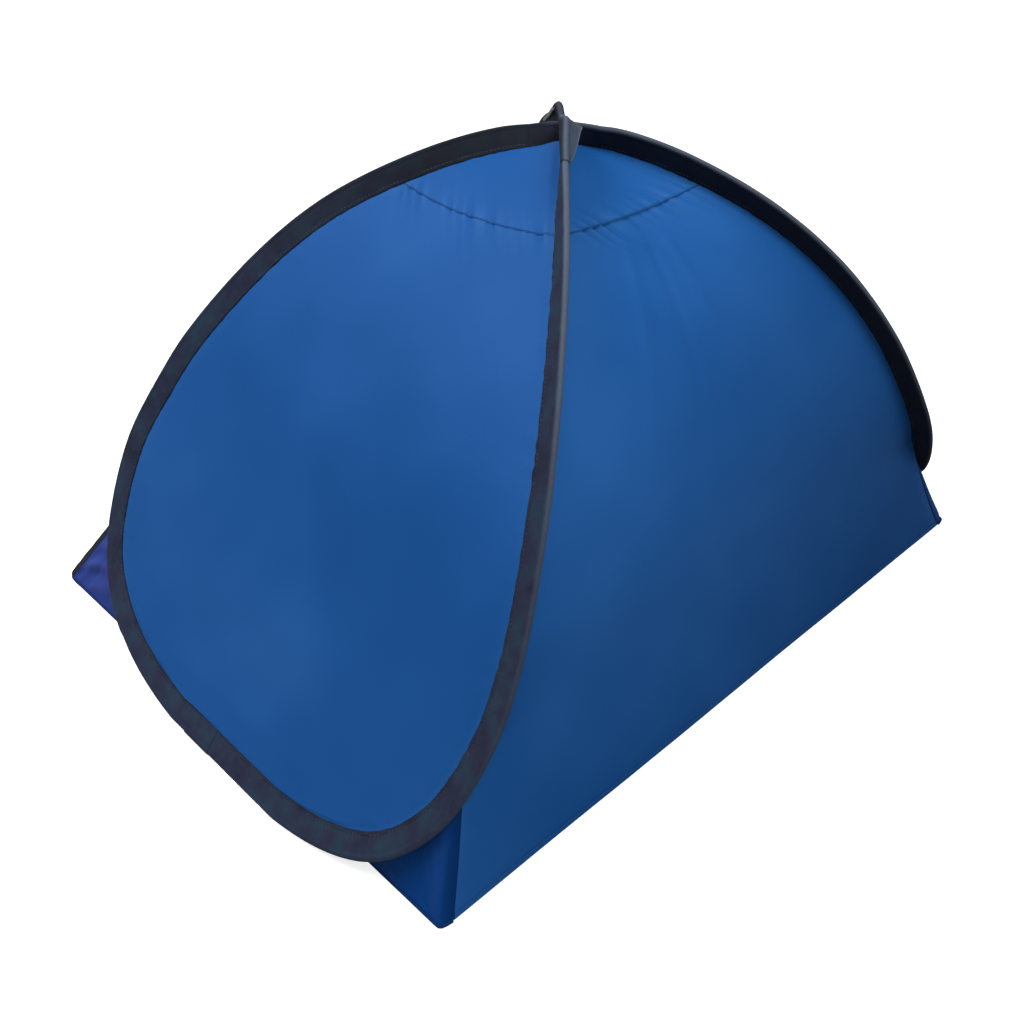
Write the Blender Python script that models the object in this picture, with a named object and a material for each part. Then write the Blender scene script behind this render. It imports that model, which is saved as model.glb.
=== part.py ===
"""Pop-up personal sun-shade tent: two spring hoops crossed at the top, with fabric between them.

Frame: metres, +Z up, the front opening faces -Y and the origin is on the ground, in the middle of
the footprint. The right lobe is on the +X side. Each lobe is a fabric panel in a closed edge tape,
and a spring-steel wire runs in the tape's outer fold. The wire is one figure-8: the strand that
leaves the right lobe at the rear passes over the other one and becomes the left lobe's front edge.
"""

import math

import bmesh
import bpy
import numpy as np

# --- driving dimensions -------------------------------------------------------------------------
HEM_HALF_WIDTH = 0.378        # ground corners, from the middle plane
REAR_HEM_Y = 0.2965
FRONT_HEM_Y = -0.297
CROSSING_Y = 0.047            # where the two strands cross, seen from above
UPPER_LIFT = 0.0150           # how far the upper strand's tape rises over the lower one
LIFT_REACH = 0.085            # length of strand over which it comes down again

# A lobe's slope seen from the front: the ridge is rounded and the side comes down straighter.
PROFILE = [(0.000, 0.4525), (0.035, 0.4465), (0.080, 0.424), (0.135, 0.383), (0.187, 0.329),
           (0.237, 0.260), (0.282, 0.184), (0.325, 0.113), (0.358, 0.062), (0.384, 0.030),
           (0.401, 0.0099)]

# A lobe's edge seen from above, (x, y): down the rear leg, along the ground, up the front leg.
OUTLINE = [(0.000, CROSSING_Y), (0.066, 0.108), (0.124, 0.162), (0.187, 0.215), (0.237, 0.250),
           (0.282, 0.272), (0.318, 0.276), (0.355, 0.259), (0.386, 0.213), (0.4012, 0.120),
           (0.4012, -0.030), (0.386, -0.140), (0.354, -0.215), (0.303, -0.241),
           (0.255, -0.217), (0.198, -0.168), (0.131, -0.107), (0.062, -0.028),
           (0.000, CROSSING_Y)]
GROUND_X = 0.401              # the tape lies straight along the ground here

# The tape's lean out of the lobe's own slope: (share of the edge's length, degrees).
TAPE_LEAN = [(0.00, 60.0), (0.06, 48.0), (0.12, 30.0), (0.20, 13.0), (0.30, 8.0), (0.42, 0.0),
             (0.60, 0.0), (0.70, 11.0), (0.86, 21.0), (0.93, 31.0), (1.00, 38.0)]

TAPE_WIDTH = 0.0225
FOLD_RADIUS = 0.0033          # the tape's rounded outer fold
NECK_HALF = 0.0022            # half its thickness in the middle
EDGE_HALF = 0.0012            # half its thickness at the sewn edge
NECK_STEP = 0.0010            # from the middle of the flat part to its thickest point
CHANNEL_RADIUS = 0.0020
WIRE_RADIUS = 0.0015
CROSSING_CUT = 0.030          # the lobes' tapes stop this far from the crossing, along the strand
CROSSING_RINGS = 11           # outlines along each crossing stretch
CROSSING_PINCH = 0.0125       # how much narrower the upper tape is pinched over the crossing
JOINT_GAP = 0.0005            # between pieces that meet end to end

CLOTH = 0.0012                # thickness of the fabric pieces
SEWN_GAP = 0.003              # from the tape's sewn edge to the fabric's edge
SEAM_X = 0.090                # slope position of the seams under the top corner pieces
SEAM_SAG = 0.008
REAR_FOOT_X = 0.3325          # where the skirt and the rear corner seam leave the rear leg
FRONT_FOOT_X = 0.330          # where the skirt's front edge leaves the front leg
TOP_ROW_X = 0.026             # first row of the top corner pieces
FLAP_BINDING = 0.007          # width of the binding on the skirt's front edge
SKIRT_TUCK = 0.004            # how much deeper the skirt is tucked under the tape at the front
CORNER_STEP = 0.005           # from the rear panel's side edge to the skirt's rear edge
BINDING_START = 0.012         # the binding starts this far down the skirt's front edge

FERRULE_AT = 0.60             # shares of the right tape's length
FERRULE_LENGTH = 0.024
FERRULE_RADIUS = 0.0027
FERRULE_BORE = 0.0018
FERRULE_BULGE = 0.0016
OVERLAP_AT = 0.498
OVERLAP_LENGTH = 0.018
OVERLAP_GAP = 0.0003          # from the tape to the end that overlaps it
OVERLAP_THICK = 0.0005

TIE_GAP = 0.0008              # from the upper tape's fold to the tie patch
TIE_LEG = 0.0015              # how far its sides reach past the fold's centre at the tips
TIE_LEG_MIDDLE = 0.0055       # and how much farther in the middle
TIE_FLARE = 0.0035            # how far its sides stand off in the middle
TIE_THICK = 0.0006

DENSE = 481                   # points along a lobe's edge
TAPE_STEP = 8                 # the tape and wire use every eighth of them

BLUE = (0.030, 0.125, 0.345)
BLUE_REAR = (0.022, 0.115, 0.330)
BLUE_SKIRT = (0.020, 0.050, 0.200)
NAVY = (0.032, 0.038, 0.062)
BLACK = (0.010, 0.010, 0.013)
STEEL = (0.45, 0.46, 0.48)


# --- small helpers ------------------------------------------------------------------------------
def clear_scene():
    for obj in list(bpy.data.objects):
        bpy.data.objects.remove(obj, do_unlink=True)


def material(name, colour, roughness, metallic=0.0):
    mat = bpy.data.materials.new(name)
    mat.use_nodes = True
    shader = mat.node_tree.nodes["Principled BSDF"]
    shader.inputs["Base Color"].default_value = (*colour, 1.0)
    shader.inputs["Roughness"].default_value = roughness
    shader.inputs["Metallic"].default_value = metallic
    mat.diffuse_color = (*colour, 1.0)
    return mat


def link(name, data, mat, pivot):
    """Links a new object whose origin is the fold pivot; its mesh is given in world positions."""
    data.materials.append(mat)
    obj = bpy.data.objects.new(name, data)
    bpy.context.collection.objects.link(obj)
    obj.parent = pivot
    obj.matrix_parent_inverse = pivot.matrix_world.inverted()
    return obj


def smooth_path(points, count):
    """Evenly spaced points on a Catmull-Rom curve through the given ones."""
    pts = [np.array(p, float) for p in points]
    pts = [2 * pts[0] - pts[1]] + pts + [2 * pts[-1] - pts[-2]]
    fine = []
    for a, b, c, d in zip(pts, pts[1:], pts[2:], pts[3:]):
        for t in np.linspace(0.0, 1.0, 40, endpoint=False):
            fine.append(0.5 * (2 * b + (c - a) * t + (2 * a - 5 * b + 4 * c - d) * t * t
                               + (3 * b - 3 * c + d - a) * t ** 3))
    fine.append(pts[-2])
    return resample(np.array(fine), count)


def resample(path, count):
    steps = np.linalg.norm(np.diff(path, axis=0), axis=1)
    along = np.concatenate([[0.0], np.cumsum(steps)])
    wanted = np.linspace(0.0, along[-1], count)
    return np.stack([np.interp(wanted, along, path[:, k]) for k in range(path.shape[1])], axis=1)


def unit(vectors):
    return vectors / np.linalg.norm(vectors, axis=-1, keepdims=True)


def ease(t):
    t = np.clip(t, 0.0, 1.0)
    return t * t * (3.0 - 2.0 * t)


# --- the lobe's edge ----------------------------------------------------------------------------
PROFILE_CURVE = smooth_path(PROFILE, 400)


def slope_height(x):
    return np.interp(x, PROFILE_CURVE[:, 0], PROFILE_CURVE[:, 1])


def slope_normal(x):
    step = 0.002
    low = np.clip(x - step, 0.0, GROUND_X)
    high = np.clip(x + step, 0.0, GROUND_X)
    fall = (slope_height(high) - slope_height(low)) / (high - low)
    return unit(np.stack([-fall, np.zeros_like(x), np.ones_like(x)], axis=1))


class Edge:
    """The tape's middle line, with its outward direction and the slope's own directions."""

    def __init__(self, side, upper_leg):
        plan = smooth_path(OUTLINE, DENSE)
        x = np.minimum(plan[:, 0], GROUND_X)
        flat = resample(np.stack([x, plan[:, 1], slope_height(x)], axis=1), DENSE)
        x = flat[:, 0]
        self.share = np.linspace(0.0, 1.0, DENSE)
        steps = np.linalg.norm(np.diff(flat, axis=0), axis=1)
        self.along = np.concatenate([[0.0], np.cumsum(steps)])
        self.length = self.along[-1]
        from_crossing = self.along if upper_leg == "rear" else self.length - self.along
        flat[:, 2] += UPPER_LIFT * (1.0 - ease(from_crossing / LIFT_REACH))
        self.tangent = unit(np.gradient(flat, axis=0))
        self.normal = slope_normal(x)
        self.outward_flat = unit(np.cross(self.normal, self.tangent))
        self.normal = unit(np.cross(self.tangent, self.outward_flat))
        lean = np.radians(np.interp(self.share, *zip(*TAPE_LEAN)))[:, None]
        self.outward = np.cos(lean) * self.outward_flat + np.sin(lean) * self.normal
        self.middle = flat
        mirror = np.array([side, 1.0, 1.0])
        for name in ("middle", "tangent", "normal", "outward_flat", "outward"):
            setattr(self, name, getattr(self, name) * mirror)
        self.side = side
        self.plan_x = x

    def index_at(self, x, leg):
        """Index of the edge point at slope position x, on the rear or the front leg."""
        half = DENSE // 2
        if leg == "rear":
            return int(np.argmin(np.abs(self.plan_x[:half] - x)))
        return half + int(np.argmin(np.abs(self.plan_x[half:] - x)))

    def ground_index(self, leg):
        """The first (rear) or last (front) point of the straight stretch on the ground."""
        straight = np.nonzero(self.plan_x >= GROUND_X - 1e-6)[0]
        return int(straight[0] if leg == "rear" else straight[-1])

    def sewn(self, i):
        return self.middle[i] - self.outward[i] * TAPE_WIDTH / 2

    def frames(self, start, stop):
        """(point, outward, across) at every TAPE_STEP-th point between two lengths."""
        first = int(np.searchsorted(self.along, start))
        last = int(np.searchsorted(self.along, stop)) - 1
        picked = np.unique(np.linspace(first, last, (last - first) // TAPE_STEP + 1).astype(int))
        return [frame(self.middle[i], self.outward[i], self.tangent[i]) for i in picked]


def frame(point, outward, tangent):
    across = np.cross(tangent, outward)
    return np.array(point), unit(outward), unit(across)


# --- swept solids -------------------------------------------------------------------------------
def swept(name, frames, outer, hole, mat, pivot):
    """Sweeps a closed (out, across) outline along the frames; hole, if any, has as many points."""
    bm = bmesh.new()

    def ring(k, outline):
        point, outward, across = frames[k]
        return [bm.verts.new(point + outward * a + across * b) for a, b in outline]

    outside = [ring(k, outer(k)) for k in range(len(frames))]
    loops = [outside]
    if hole:
        inside = [ring(k, hole(k)) for k in range(len(frames))]
        loops.append(inside)
    for rings in loops:
        for one, two in zip(rings, rings[1:]):
            for j in range(len(one)):
                n = (j + 1) % len(one)
                bm.faces.new((one[j], one[n], two[n], two[j]))
    for end in (0, -1):
        if not hole:
            bm.faces.new(outside[end])
            continue
        big, small = outside[end], inside[end]
        for j in range(len(big)):
            n = (j + 1) % len(big)
            bm.faces.new((big[j], big[n], small[n], small[j]))
    bmesh.ops.recalc_face_normals(bm, faces=bm.faces)
    mesh = bpy.data.meshes.new(name)
    bm.to_mesh(mesh)
    bm.free()
    mesh.shade_smooth()
    mesh.set_sharp_from_angle(angle=math.radians(50))
    return link(name, mesh, mat, pivot)


# The tape stands on one facet of its fold: the angle from its outward direction to straight down.
GROUND_SLOPE = math.atan2(PROFILE[-2][1] - PROFILE[-1][1], PROFILE[-1][0] - PROFILE[-2][0])
REST_ANGLE = math.pi / 2 - GROUND_SLOPE
FACET_HALF = math.radians(22.5)
FOLD_CENTRE = TAPE_WIDTH / 2 - FOLD_RADIUS


def fold_angles():
    near, far = REST_ANGLE - FACET_HALF, REST_ANGLE + FACET_HALF
    return [-far, -near, near, far]


def tape_outline(radius=FOLD_RADIUS, sewn_at=-TAPE_WIDTH / 2):
    """A folded tape: round over the wire, thin at the sewn edge."""
    fold = [(FOLD_CENTRE + radius * math.cos(t), radius * math.sin(t)) for t in fold_angles()]
    neck_at = (FOLD_CENTRE + sewn_at) / 2 - NECK_STEP
    tail = [(neck_at, NECK_HALF), (sewn_at, EDGE_HALF), (sewn_at, -EDGE_HALF),
            (neck_at, -NECK_HALF)]
    return fold + tail


def channel_outline(radius=CHANNEL_RADIUS):
    angles = fold_angles() + [math.radians(a) for a in (125, 165, 195, 235)]
    return [(FOLD_CENTRE + radius * math.cos(t), radius * math.sin(t)) for t in angles]


def circle_outline(radius, sides=8):
    angles = [2 * math.pi * k / sides for k in range(sides)]
    return [(FOLD_CENTRE + radius * math.cos(t), radius * math.sin(t)) for t in angles]


def wire(name, frames, pivot, mat):
    """A round rod along the fold's centre, as a bevelled curve with filled ends."""
    points = [point + outward * FOLD_CENTRE for point, outward, _ in frames]
    curve = bpy.data.curves.new(name, "CURVE")
    curve.dimensions = "3D"
    curve.bevel_depth = WIRE_RADIUS
    curve.bevel_resolution = 2
    curve.use_fill_caps = True
    spline = curve.splines.new("POLY")
    spline.points.add(len(points) - 1)
    for target, point in zip(spline.points, points):
        target.co = (*point, 1.0)
    return link(name, curve, mat, pivot)


def lobe_tape(name, edge, pivot, mat, ferrule_at=None):
    frames = edge.frames(CROSSING_CUT, edge.length - CROSSING_CUT)

    def bulge(k):
        if ferrule_at is None:
            return 0.0
        away = abs(k / (len(frames) - 1) - ferrule_at) * edge.length
        return FERRULE_BULGE * (1.0 - ease((away - 0.020) / 0.030))

    swept(name, frames, lambda k: tape_outline(FOLD_RADIUS + bulge(k)),
          lambda k: channel_outline(CHANNEL_RADIUS + bulge(k)), mat, pivot)
    return frames


def short_frames(tape_frames, at, length, count=4):
    """Frames of a short piece on the tape, centred at a share of the tape's length."""
    points = np.array([f[0] for f in tape_frames])
    outwards = np.array([f[1] for f in tape_frames])
    across = np.array([f[2] for f in tape_frames])
    steps = np.linalg.norm(np.diff(points, axis=0), axis=1)
    along = np.concatenate([[0.0], np.cumsum(steps)])

    def at_length(s, values):
        return np.array([np.interp(s, along, values[:, k]) for k in range(3)])

    start = at * along[-1] - length / 2
    return [(at_length(s, points), unit(at_length(s, outwards)), unit(at_length(s, across)))
            for s in np.linspace(start, start + length, count)]


def overlap_outline(k):
    """The overlapping tape end: a strip over the tape's upper face and round to its outer fold."""

    def layer(extra):
        radius = FOLD_RADIUS + extra
        angles = [0.0] + fold_angles()[2:]
        arc = [(FOLD_CENTRE + radius * math.cos(t), radius * math.sin(t)) for t in angles]
        neck = (FOLD_CENTRE - TAPE_WIDTH / 2) / 2 - NECK_STEP
        return arc + [(neck, NECK_HALF + extra), (-TAPE_WIDTH / 2 + NECK_STEP, EDGE_HALF + extra)]

    return layer(OVERLAP_GAP + OVERLAP_THICK) + layer(OVERLAP_GAP)[::-1]


# --- the crossing -------------------------------------------------------------------------------
def strand_end(edge, leg):
    """Middle point, outward and the direction towards the crossing at the cut end of a leg."""
    at = CROSSING_CUT if leg == "rear" else edge.length - CROSSING_CUT
    i = int(np.searchsorted(edge.along, at)) - (leg == "front")
    inwards = -edge.tangent[i] if leg == "rear" else edge.tangent[i]
    return edge.middle[i], edge.outward[i], inwards


def crossing_frames(start, end, count, trim=JOINT_GAP):
    """Frames from one leg's cut end over the crossing to the other's, turning evenly."""
    (p0, out0, dir0), (p1, out1, dir1) = start, end
    reach = np.linalg.norm(p1 - p0)
    t = np.linspace(trim / reach, 1.0 - trim / reach, count)[:, None]
    m0, m1 = dir0 * reach, -dir1 * reach
    points = ((2 * t ** 3 - 3 * t ** 2 + 1) * p0 + (t ** 3 - 2 * t ** 2 + t) * m0
              + (3 * t ** 2 - 2 * t ** 3) * p1 + (t ** 3 - t ** 2) * m1)
    tangents = unit(np.gradient(points, axis=0))
    tangents[0], tangents[-1] = dir0, -dir1
    outwards = (1 - t) * out0 + t * out1
    outwards -= tangents * np.sum(outwards * tangents, axis=1, keepdims=True)
    return [frame(p, o, d) for p, o, d in zip(points, outwards, tangents)]


def tie_patch(frames, pivot, mat):
    """A leaf of cloth folded over the upper strand, widest over the crossing."""
    bm = bmesh.new()
    radius = FOLD_RADIUS + TIE_GAP
    rows = []
    for k, (point, outward, across) in enumerate(frames):
        share = k / (len(frames) - 1)
        leg = TIE_LEG + TIE_LEG_MIDDLE * math.sin(math.pi * share)
        flare = TIE_FLARE * math.sin(math.pi * share)
        arc = [(FOLD_CENTRE + radius * math.cos(t), radius * math.sin(t))
               for t in np.radians([90, 50, 18, -18, -50, -90])]
        outline = ([(FOLD_CENTRE - leg, radius + flare)] + arc
                   + [(FOLD_CENTRE - leg, -radius - flare)])
        rows.append([bm.verts.new(point + outward * a + across * b) for a, b in outline])
    skin(bm, rows)
    return solid_sheet("tie_patch", bm, TIE_THICK, mat, pivot)


# --- fabric -------------------------------------------------------------------------------------
def skin(bm, rows):
    for one, two in zip(rows, rows[1:]):
        for a, b, c, d in zip(one, one[1:], two[1:], two):
            bm.faces.new((a, b, c, d))


def solid_sheet(name, bm, thickness, mat, pivot):
    bmesh.ops.recalc_face_normals(bm, faces=bm.faces)
    mesh = bpy.data.meshes.new(name)
    bm.to_mesh(mesh)
    bm.free()
    mesh.shade_smooth()
    obj = link(name, mesh, mat, pivot)
    solid = obj.modifiers.new("cloth", "SOLIDIFY")
    solid.thickness = thickness
    solid.offset = 0.0
    solid.use_even_offset = True
    return obj


def ruled_cloth(name, edge_a, edge_b, mat, pivot, columns=8, sag=None, thickness=CLOTH):
    """Cloth stretched straight between two edges; sag gives each row's dip as a vector."""
    bm = bmesh.new()
    rows = []
    for k, (a, b) in enumerate(zip(edge_a, edge_b)):
        dip = np.zeros(3) if sag is None else sag[k]
        shares = np.linspace(0.0, 1.0, columns + 1)
        rows.append([bm.verts.new((1 - t) * a + t * b + dip * 4 * t * (1 - t)) for t in shares])
    skin(bm, rows)
    return solid_sheet(name, bm, thickness, mat, pivot)


def lobe_rim(edge, i):
    """Where the lobe's fabric meets its tape."""
    return edge.sewn(i) - edge.outward_flat[i] * SEWN_GAP


def down_slope(edge, i):
    """The direction straight down the lobe's slope at an edge point."""
    x_part, _, z_part = edge.normal[i]
    return unit(np.array([z_part * edge.side, 0.0, -abs(x_part)]))


def side_rows(edge, positions):
    """Paired rim points of the rear and front legs at the same slope positions."""
    rear, front, down = [], [], []
    for x in positions:
        i = edge.index_at(x, "rear") if x < GROUND_X else edge.ground_index("rear")
        j = edge.index_at(x, "front") if x < GROUND_X else edge.ground_index("front")
        rear.append(lobe_rim(edge, i))
        front.append(lobe_rim(edge, j))
        down.append(down_slope(edge, i))
    return rear, front, down


def side_panel(edge, word, pivot, mat):
    top = np.linspace(TOP_ROW_X, SEAM_X, 5)
    rear, front, down = side_rows(edge, top)
    sag = [d * SEAM_SAG * ease(k / (len(top) - 1)) for k, d in enumerate(down)]
    ruled_cloth(word + "_top_corner", rear, front, mat, pivot, sag=sag)
    main = np.concatenate([np.linspace(SEAM_X + 0.002, 0.375, 15), [0.388, 0.397, GROUND_X]])
    rear, front, down = side_rows(edge, main)
    sag = [d * SEAM_SAG * (1.0 - ease(k / 8)) for k, d in enumerate(down)]
    ruled_cloth(word + "_side_panel", rear, front, mat, pivot, columns=10, sag=sag)


def rear_rim(edge, i):
    """Where the rear panel meets the tape: beside the sewn edge, towards the middle."""
    inward = np.array([-edge.side, 0.0, 0.0])
    inward = unit(inward - edge.tangent[i] * np.dot(inward, edge.tangent[i]))
    return edge.sewn(i) + inward * SEWN_GAP


def rear_rows(left, right, positions):
    rows = []
    for edge in (left, right):
        rows.append([rear_rim(edge, edge.index_at(x, "rear")) for x in positions])
    return rows


def rear_panel(left, right, pivot, mat):
    top = np.linspace(TOP_ROW_X, SEAM_X, 5)
    row_left, row_right = rear_rows(left, right, top)
    sag = [np.array([0.0, 0.2, -0.98]) * SEAM_SAG * 0.7 * ease(k / 4) for k in range(len(top))]
    ruled_cloth("rear_top_corner", row_left, row_right, mat, pivot, sag=sag)
    main = np.linspace(SEAM_X + 0.002, REAR_FOOT_X, 13)
    row_left, row_right = rear_rows(left, right, main)
    sag = [np.array([0.0, 0.2, -0.98]) * SEAM_SAG * 0.7 * (1.0 - ease(k / 8)) for k in range(13)]
    for row, side in ((row_left, -1.0), (row_right, 1.0)):
        corner = np.array([side * (HEM_HALF_WIDTH - 0.002), REAR_HEM_Y, CLOTH])
        foot = row[-1]
        row.extend(foot + (corner - foot) * t for t in (0.33, 0.67, 1.0))
    sag.extend([np.zeros(3)] * 3)
    ruled_cloth("rear_panel", row_left, row_right, mat, pivot, columns=12, sag=sag)


def skirt(edge, word, pivot, mat, binding):
    """The ground skirt under a lobe, from the rear corner seam to the bound front edge."""
    first = edge.index_at(REAR_FOOT_X, "rear")
    last = edge.index_at(FRONT_FOOT_X, "front")
    picked = np.linspace(first, last, 25).astype(int)
    tuck = SEWN_GAP + SKIRT_TUCK * ease((np.linspace(0.0, 1.0, 25) - 0.75) / 0.25)
    top = [edge.sewn(i) - edge.normal[i] * depth for i, depth in zip(picked, tuck)]
    top[0] = rear_rim(edge, first) + CORNER_STEP * np.array([edge.side * 0.3, -1.0, 0.0])
    y_first, y_last = top[0][1], top[-1][1]
    rear_y, front_y = REAR_HEM_Y - CORNER_STEP, FRONT_HEM_Y + FLAP_BINDING + JOINT_GAP
    hem = []
    for point in top:
        share = (y_first - point[1]) / (y_first - y_last)
        y = rear_y + (front_y - rear_y) * share
        hem.append(np.array([edge.side * HEM_HALF_WIDTH, y, CLOTH / 2]))
    ruled_cloth(word + "_skirt", top, hem, mat, pivot, columns=4)
    forward = np.array([0.0, -1.0, 0.0])
    ends = [np.array(top[-1]), np.array(hem[-1])]
    run = unit(ends[1] - ends[0])
    forward = unit(forward - run * np.dot(forward, run))
    ends[0] = ends[0] + run * BINDING_START
    ends[1] = ends[1] + np.array([0.0, 0.0, CLOTH / 2])
    near = [ends[0] + (ends[1] - ends[0]) * t + forward * JOINT_GAP * 2 for t in (0, 0.5, 1)]
    far = [point + forward * FLAP_BINDING for point in near]
    ruled_cloth(word + "_flap_binding", near, far, binding, pivot, columns=1, thickness=CLOTH * 2)


# --- the whole tent -----------------------------------------------------------------------------
def fold_pivot():
    """An empty on the fold axis, which runs front to back through the crossing."""
    pivot = bpy.data.objects.new("fold_pivot", None)
    bpy.context.collection.objects.link(pivot)
    pivot.location = (0.0, CROSSING_Y, PROFILE[0][1])
    pivot.empty_display_size = 0.03
    bpy.context.view_layer.update()
    return pivot


def build():
    clear_scene()
    pivot = fold_pivot()
    fabric = material("blue_fabric", BLUE, 0.55)
    rear_fabric = material("rear_fabric", BLUE_REAR, 0.55)
    skirt_fabric = material("skirt_fabric", BLUE_SKIRT, 0.6)
    tape = material("edge_tape", NAVY, 0.75)
    binding = material("flap_binding", BLACK, 0.7)
    steel = material("spring_steel", STEEL, 0.35, 1.0)

    right = Edge(1.0, "rear")
    left = Edge(-1.0, "front")
    tapes = {}
    for word, edge, ferrule_at in (("right", right, FERRULE_AT), ("left", left, None)):
        tapes[word] = lobe_tape(word + "_edge_tape", edge, pivot, tape, ferrule_at)
        wire(word + "_hoop_wire", tapes[word], pivot, steel)
        side_panel(edge, word, pivot, fabric)
        skirt(edge, word, pivot, skirt_fabric, binding)
    rear_panel(left, right, pivot, rear_fabric)

    swept("wire_ferrule", short_frames(tapes["right"], FERRULE_AT, FERRULE_LENGTH),
          lambda k: circle_outline(FERRULE_RADIUS), lambda k: circle_outline(FERRULE_BORE),
          steel, pivot)
    swept("tape_overlap", short_frames(tapes["right"], OVERLAP_AT, OVERLAP_LENGTH),
          overlap_outline, None, tape, pivot)

    lower = crossing_frames(strand_end(left, "rear"), strand_end(right, "front"), CROSSING_RINGS)
    upper = crossing_frames(strand_end(right, "rear"), strand_end(left, "front"), CROSSING_RINGS)

    def narrowed(k):
        away = abs(2 * k / (CROSSING_RINGS - 1) - 1.0)
        return -TAPE_WIDTH / 2 + CROSSING_PINCH * (1.0 - ease((away - 0.3) / 0.6))

    swept("crossing_tape_lower", lower, lambda k: tape_outline(), lambda k: channel_outline(),
          tape, pivot)
    swept("crossing_tape_upper", upper, lambda k: tape_outline(sewn_at=narrowed(k)),
          lambda k: channel_outline(), tape, pivot)
    wire("crossing_wire_lower", lower, pivot, steel)
    wire("crossing_wire_upper", upper, pivot, steel)
    tie_patch(upper[2:-2], pivot, tape)


build()
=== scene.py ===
"""Looks for the pop-up head shade: folded edge tapes, stitched fabric panels, skirts and bindings.

The curves are the part's own, in metres, in the row frame: +Z up, the open front faces -Y, the
right lobe is on +X. Each visible soft piece replaces its CAD solid, and so do the two short wires of
the crossing. The other spring wires stay inside.
"""

import math

import bpy
import numpy as np
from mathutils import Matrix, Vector, noise


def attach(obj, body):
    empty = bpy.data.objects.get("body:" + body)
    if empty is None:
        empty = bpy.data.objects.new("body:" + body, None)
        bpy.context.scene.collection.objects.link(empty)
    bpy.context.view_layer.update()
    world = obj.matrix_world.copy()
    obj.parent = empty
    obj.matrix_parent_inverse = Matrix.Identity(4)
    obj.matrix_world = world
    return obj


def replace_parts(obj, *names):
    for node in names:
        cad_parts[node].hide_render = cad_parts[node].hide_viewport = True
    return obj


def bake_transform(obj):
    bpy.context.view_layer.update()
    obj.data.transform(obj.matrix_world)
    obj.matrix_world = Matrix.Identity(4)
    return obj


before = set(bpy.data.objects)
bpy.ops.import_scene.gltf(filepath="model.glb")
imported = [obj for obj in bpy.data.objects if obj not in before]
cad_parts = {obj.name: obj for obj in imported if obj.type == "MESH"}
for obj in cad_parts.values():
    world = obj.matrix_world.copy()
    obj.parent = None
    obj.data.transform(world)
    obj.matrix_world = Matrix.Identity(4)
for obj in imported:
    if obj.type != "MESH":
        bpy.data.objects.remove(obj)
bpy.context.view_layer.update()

# --- the part's own curves ---
CROSSING_Y = 0.047
UPPER_LIFT = 0.0150
LIFT_REACH = 0.085
GROUND_X = 0.401
PROFILE = [(0.000, 0.4525), (0.035, 0.4465), (0.080, 0.424), (0.135, 0.383), (0.187, 0.329),
           (0.237, 0.260), (0.282, 0.184), (0.325, 0.113), (0.358, 0.062), (0.384, 0.030),
           (0.401, 0.0099)]
OUTLINE = [(0.000, CROSSING_Y), (0.066, 0.108), (0.124, 0.162), (0.187, 0.215), (0.237, 0.250),
           (0.282, 0.272), (0.318, 0.276), (0.355, 0.259), (0.386, 0.213), (0.4012, 0.120),
           (0.4012, -0.030), (0.386, -0.140), (0.354, -0.215), (0.303, -0.241),
           (0.255, -0.217), (0.198, -0.168), (0.131, -0.107), (0.062, -0.028),
           (0.000, CROSSING_Y)]
TAPE_LEAN = [(0.00, 60.0), (0.06, 48.0), (0.12, 30.0), (0.20, 13.0), (0.30, 8.0), (0.42, 0.0),
             (0.60, 0.0), (0.70, 11.0), (0.86, 21.0), (0.93, 31.0), (1.00, 38.0)]
HEM_HALF_WIDTH = 0.378
REAR_HEM_Y = 0.2965
FRONT_HEM_Y = -0.297
FRONT_FOOT_X = 0.330
SEAM_X = 0.090
SEAM_SAG = 0.008
CROSSING_CUT = 0.030
FERRULE_AT = 0.60
OVERLAP_AT = 0.498

# --- where the look is looser than the part ---
UPRIGHT_START = [(0.00, 86.0)]                  # the right lobe's rear leg, near the crossing
UPRIGHT_END = [(0.93, 38.0), (1.00, 84.0)]      # the left lobe's front leg, near the crossing
CROSSING_DROP = 0.0100        # how far the upper strand sags onto the lower one
REAR_FOOT_X = 0.3235          # where the skirt's rear seam meets the tape
REAR_WRAP = 0.013             # how far the skirt comes round the rear ground corner
LEAF_REACH = 0.038            # how far the leaf comes down over the right lobe's tape
LEAF_END = 27                 # rings of the upper strand under the leaf
LEAF_WIDTH = 0.0118
LEAF_WAY = np.array([-0.50, 0.66, -0.50])       # the way its wide wing lies

# --- the sewn detail ---
TAPE_WIDTH = 0.0225           # folded
CAD_FOLD_RADIUS = 0.0033
FOLD_RADIUS = 0.0031
PLY = 0.0006                  # thickness of the tape's webbing
CLOTH = 0.0005                # thickness of the fabric
IN_TAPE = 0.003               # how far the fabric's edge reaches into the fold of the tape
TOP_X = 0.016                 # where the fabric starts, near the crossing
HEM_FOLD = 0.0075             # depth of the folded hems
BINDING = 0.0058              # width of the flap's binding
CORNER_RADIUS = 0.006         # of the flap's ground corner
CORNER_ROWS = 60              # rows of the skirt near that corner
BINDING_STEP = 0.0012         # between the points along it
BINDING_FRONT = 62            # how many of them lie before the corner
STITCH_IN = 0.0030            # from the tape's sewn edge to its stitches
GROUND_GAP = 0.0008           # between the hems and the ground
WIRE_RADIUS = 0.0015
PUCKER = 0.0005               # height of the puckers along a sewn edge
PUCKER_PITCH = 0.0145
SAG_REACH = 0.20              # how far down a panel its seam's sag is felt
REAR_FOLDS = [(0.0016, 0.42, 0.10, 0.028), (-0.0014, 0.50, 0.22, 0.020),
              (0.0012, 0.62, 0.30, 0.025)]      # height, share across, lean and width of each
FABRIC_ROUGHNESS = 0.5
PALE_FOLD_SHARE = 0.5              # how pale the palest fold of the webbing is: part abrasion, part painted highlight
DENSE = 1201                  # points on an edge's curve
SIDE_COLUMNS = 130
REAR_COLUMNS = 150
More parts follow.
